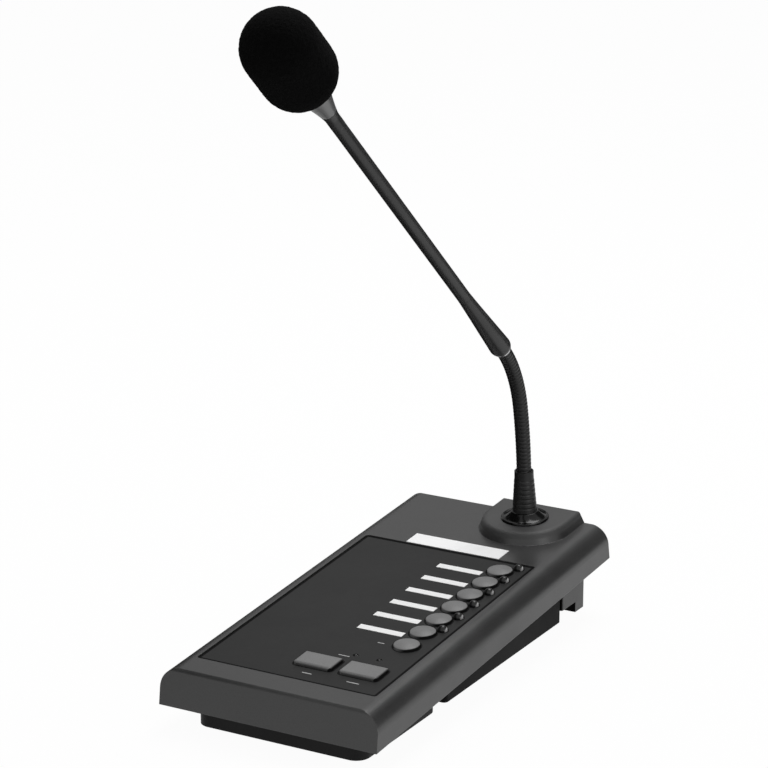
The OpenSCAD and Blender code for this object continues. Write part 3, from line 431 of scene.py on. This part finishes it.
# Foam windscreen
def make_foam():
    """Long ball with a hole below, its surface uneven like open foam."""
    bm = bmesh.new()
    r = FOAM_D / 2
    top = FOAM_L - r
    start = math.degrees(math.asin(FOAM_MOUTH_R / r))
    profile = [(FOAM_HOLE_R, 5.0), (FOAM_HOLE_R, 1.6), (6.8, 0.75)] + arc(0, r, r, start - 90, 0, 34)
    profile += [(r, z) for z in steps(r, top, 26)[1:-1]]
    profile += arc(0, top, r, 0, 90, 44)[:-1] + [(0, FOAM_L)]
    lathe(bm, profile, 190, Matrix.Translation((0, 0, FOAM_LOW * MM)))
    for v in bm.verts:
        p = v.co / MM
        middle = Vector((0, 0, min(max(p.z, FOAM_LOW + r), FOAM_LOW + top)))
        waves = sum(depth * noise.noise(p * rate + shift) for depth, rate, shift in FOAM_WAVES)
        v.co = (p + (p - middle).normalized() * (waves + FOAM_SWELL) + FOAM_SHIFT) * MM
    bm.transform(ON_STEM)
    return new_object("foam_windscreen", bm)


foam = make_foam()
dress(foam, FOAM, "stem", "foam_black", "windscreen")


# Turned pieces: glossy collar, tapered sleeve and flared housing
def make_collar():
    """Flange with a rounded rim that rises in a hollow curve to the boot."""
    bm = bmesh.new()
    seat, flat, rim, rounding = BOOT_R + 0.4, COLLAR_R - 0.7, 0.95, 0.6
    profile = [(0, 0), (COLLAR_R - 0.15, 0), (COLLAR_R, 0.2)]
    profile += arc(COLLAR_R - rounding, 0.35, rounding, 0, 80, 8)
    profile += [(flat + (seat - flat) * f, rim + (COLLAR_H - rim) * f ** COLLAR_CURVE) for f in steps(0, 1, 16)[1:]]
    profile.append((0, COLLAR_H))
    lathe(bm, profile, 96, ON_SLOPE @ Matrix.Translation(Vector((NECK_X, NECK_V, COLLAR_TOP - COLLAR_H)) * MM))
    return new_object("collar_skin", bm)


def make_sleeve():
    """Ferrule with a rounded nose, whose taper runs out on the stem."""
    bm = bmesh.new()
    cone_low = FERRULE_LOW + NOSE
    fall = (FERRULE_R - STEM_R - 0.3) / (FERRULE_L - cone_low)
    profile = [(MOUTH_R + (FERRULE_R - MOUTH_R) * math.sin(a), FERRULE_LOW + NOSE * (1 - math.cos(a)))
               for a in steps(0, math.pi / 2, 12)]
    r_low = FERRULE_R - fall * (TAIL_LOW - cone_low)
    r_top = STEM_R + SKIN
    power = fall * (TAIL_TOP - TAIL_LOW) / (r_low - r_top)
    profile += [(r_top + (r_low - r_top) * (1 - f) ** power, TAIL_LOW + (TAIL_TOP - TAIL_LOW) * f)
                for f in steps(0, 1, 24)]
    bore, neck_seat = STEM_R - SUNK, NECK_D / 2 + 0.3
    profile += [(bore, TAIL_TOP), (bore, NECK_D + 0.5), (neck_seat, NECK_D), (neck_seat, FERRULE_LOW)]
    lathe(bm, profile, 64, ON_STEM, close=True)
    return new_object("ferrule_sleeve", bm)


def bell_r(z):
    """Radius of the bell that runs from the stem into the housing."""
    low, top, r = STEM_L + 2, STEM_L + FLARE_L, STEM_R + SKIN
    return r + (HOUSING_R - r) * max(0, (z - low) / (top - low)) ** BELL_CURVE


def make_bell(name, low, high, barrel):
    """Part of the bell from low to high, with the housing's barrel above it where that has a length."""
    bm = bmesh.new()
    profile = [(bell_r(z), z) for z in steps(low, high, 24)]
    bore = STEM_R - SUNK
    if barrel:
        inner, top = HOUSING_R - 1, high + barrel
        profile += [(HOUSING_R, top), (inner, top), (inner, high)]
    profile += [(bore, high), (bore, low)]
    lathe(bm, profile, 64, ON_STEM, close=True)
    return new_object(name, bm)


dress(make_collar(), GLOSS, "base", "collar_black", "neck_collar")
dress(make_sleeve(), STEM, "stem", "stem_black", "stem_ferrule")
dress(make_bell("stem_bell", STEM_L - 4, SEAM, 0), STEM, "stem", "stem_black")
dress(make_bell("housing_bell", SEAM, STEM_L + FLARE_L, BARREL_L), HEAD, "stem", "head_grey", "capsule_housing")


# Painted shade: dark rings at the edges of the openings round the keys and lamps, where their gaps lie in shadow
def rounded_loop(half_u, half_v, r, n=8):
    points = []
    for k, (su, sv) in enumerate(((1, 1), (-1, 1), (-1, -1), (1, -1))):
        points += arc(su * (half_u - r), sv * (half_v - r), r, 90 * k, 90 * k + 90, n)
    return points


def make_well_shade():
    bm = bmesh.new()
    key, led = (KEY_D / 2,) * 3, (LED_D / 2,) * 3
    wells = [(LOCK_U - BAR_PITCH * i, BAR_V, BAR_L / 2, BAR_W / 2, BAR_R, KEY_GAP, BAR_RIM) for i in range(2)]
    for i in range(ZONES + 1):
        v = KEY_V + KEY_PITCH * i
        wells.append((KEY_U, v, *key, KEY_GAP, ROUND_RIM))
        if i:
            wells.append((KEY_U + LED_SIDE, v + LED_BACK, *led, LED_GAP, ROUND_RIM))
    for u, v, half_u, half_v, r, gap, width in wells:
        rings = []
        for out, w in ((gap, 0), (gap + width, 0), (gap + width, RIM_T), (gap, RIM_T)):
            rings.append([bm.verts.new(ON_SLOPE @ (Vector((u + a, v + b, PANEL_FACE + w)) * MM))
                          for a, b in rounded_loop(half_u + out, half_v + out, r + out)])
        rings_to_faces(bm, rings, close=True)
    return new_object("key_well_shade", bm, smooth=False)


dress(make_well_shade(), CASE, "base", "case_black")


# Plain printed bars beside the keys
def make_marks():
    bm = bmesh.new()
    for u, v, length in MARKS:
        place = ON_SLOPE @ Matrix.Translation(Vector((u, v, PANEL_FACE + MARK_LIFT)) * MM)
        bmesh.ops.create_cube(bm, size=MM, matrix=place @ Matrix.Diagonal((length, MARK_W, MARK_T, 1)))
    return new_object("panel_marks", bm, smooth=False)


dress(make_marks(), PRINT, "base", "strip_white")


# Stage, light and camera, in metres
FLOOR_HALF, FLOOR_Z, FLOOR_WHITE = 6, -0.0002, 0.96
SKY_LIGHT, SKY_SEEN = 0.5, 1.0
TOP_BOX = ("top_box", (-0.02, 0.45, 1.2), (0, 0, 0), (0.62, 0.62), 8.6)
RIGHT_BOX = ("right_box", (1.2, -0.42, 0.15), (0, 0, 0.1), (0.5, 0.26), 2.9)
CARDS = (
    ("dark_card", (0.42, 1.05, 0.62), (0.05, 0, 0.03), (0.85, 0.8), 0.09),
    ("grey_card", (-0.5, 0.95, 0.55), (0.0, 0, 0.03), (0.95, 0.9), 0.56),
    ("left_card", (-0.26, -0.22, 0.25), (0, -0.22, 0.25), (0.75, 0.5), 0.03),
    ("right_card", (0.36, 0.55, 0.25), (0, 0.55, 0.25), (0.7, 0.5), 0.03),
    ("back_card", (-0.3, 0.85, 0.13), (0, 0, 0.13), (1.3, 0.26), 0.03),
    ("high_card", (-0.85, 0.35, 0.6), (0, 0.08, 0.04), (0.45, 0.5), 0.05),
    ("roof_card", (-0.55, 0.05, 1.0), (0, 0.08, 0.04), (0.6, 0.6), 0.03),
    ("far_card", (-0.02, 0.72, 0.004), (-0.02, 0.72, 1), (0.62, 0.62), 0.03),
    ("low_card", (-0.28, 0.18, 0.004), (-0.28, 0.18, 1), (0.44, 0.6), 0.03),
)
CAMERA_AT = (0.57656, -0.9207 + FRONT_Y * MM, 0.4791)
CAMERA_TURN, CAMERA_DOWN = math.radians(29.61), math.radians(16.80)
SENSOR_MM, LENS_MM = 36, 140.625


def stage_floor():
    """Pale floor that looks white and still takes a faint shadow."""
    bm = bmesh.new()
    bmesh.ops.create_grid(bm, x_segments=1, y_segments=1, size=FLOOR_HALF)
    floor = new_object("floor", bm, smooth=False)
    floor.location.z = FLOOR_Z
    m = bpy.data.materials.new("pale_floor")
    t, surface = fresh_tree(m, "ShaderNodeOutputMaterial")
    matt = t.nodes.new("ShaderNodeBsdfDiffuse")
    matt.inputs["Color"].default_value = (0.9, 0.9, 0.9, 1)
    white = t.nodes.new("ShaderNodeEmission")
    white.inputs["Strength"].default_value = 1
    seen_shader(t, surface, matt.outputs[0], white.outputs[0], FLOOR_WHITE)
    floor.data.materials.append(m)


def world():
    """White sky to the eye, and a weaker one that lights the object."""
    w = bpy.data.worlds.new("studio")
    scene.world = w
    t, surface = fresh_tree(w, "ShaderNodeOutputWorld")
    skies = []
    for strength in (SKY_LIGHT, SKY_SEEN):
        sky = t.nodes.new("ShaderNodeBackground")
        sky.inputs["Color"].default_value = (1, 1, 1, 1)
        sky.inputs["Strength"].default_value = strength
        skies.append(sky.outputs[0])
    seen_shader(t, surface, *skies)


def softbox(name, place, target, size, power, diffuse=True):
    light = bpy.data.lights.new(name, "AREA")
    light.shape = "RECTANGLE"
    light.size, light.size_y = size
    light.energy = power
    obj = bpy.data.objects.new(name, light)
    scene.collection.objects.link(obj)
    obj.location = place
    obj.rotation_euler = (Vector(target) - Vector(place)).to_track_quat("-Z", "Y").to_euler()
    obj.visible_diffuse = diffuse


def card(name, place, target, size, value):
    """Grey card that shows only in reflections."""
    bm = bmesh.new()
    bmesh.ops.create_grid(bm, x_segments=1, y_segments=1, size=0.5)
    obj = new_object(name, bm, smooth=False)
    turn = (Vector(target) - Vector(place)).to_track_quat("Z", "Y").to_matrix().to_4x4()
    obj.matrix_world = Matrix.Translation(place) @ turn @ Matrix.Diagonal((size[0], size[1], 1, 1))
    m = bpy.data.materials.new(name)
    t, surface = fresh_tree(m, "ShaderNodeOutputMaterial")
    glow = t.nodes.new("ShaderNodeEmission")
    glow.inputs["Color"].default_value = (value, value, value, 1)
    t.links.new(glow.outputs[0], surface)
    obj.data.materials.append(m)
    obj.visible_camera = False
    obj.visible_diffuse = False
    obj.visible_shadow = False
    obj.visible_transmission = False


def camera():
    level = math.cos(CAMERA_DOWN)
    back = Vector((math.sin(CAMERA_TURN) * level, -math.cos(CAMERA_TURN) * level, math.sin(CAMERA_DOWN)))
    right = Vector((math.cos(CAMERA_TURN), math.sin(CAMERA_TURN), 0))
    up = back.cross(right)
    cam = bpy.data.cameras.new("camera")
    cam.sensor_fit = "HORIZONTAL"
    cam.sensor_width = SENSOR_MM
    cam.lens = LENS_MM
    cam.clip_start = 0.05
    cam.clip_end = 50
    obj = bpy.data.objects.new("camera", cam)
    scene.collection.objects.link(obj)
    turn = Matrix((right, up, back)).transposed().to_4x4()
    obj.matrix_world = Matrix.Translation(CAMERA_AT) @ turn
    scene.camera = obj


stage_floor()
world()
softbox(*TOP_BOX)
softbox(*RIGHT_BOX, diffuse=False)
for row in CARDS:
    card(*row)
camera()
scene.view_settings.view_transform = "Standard"
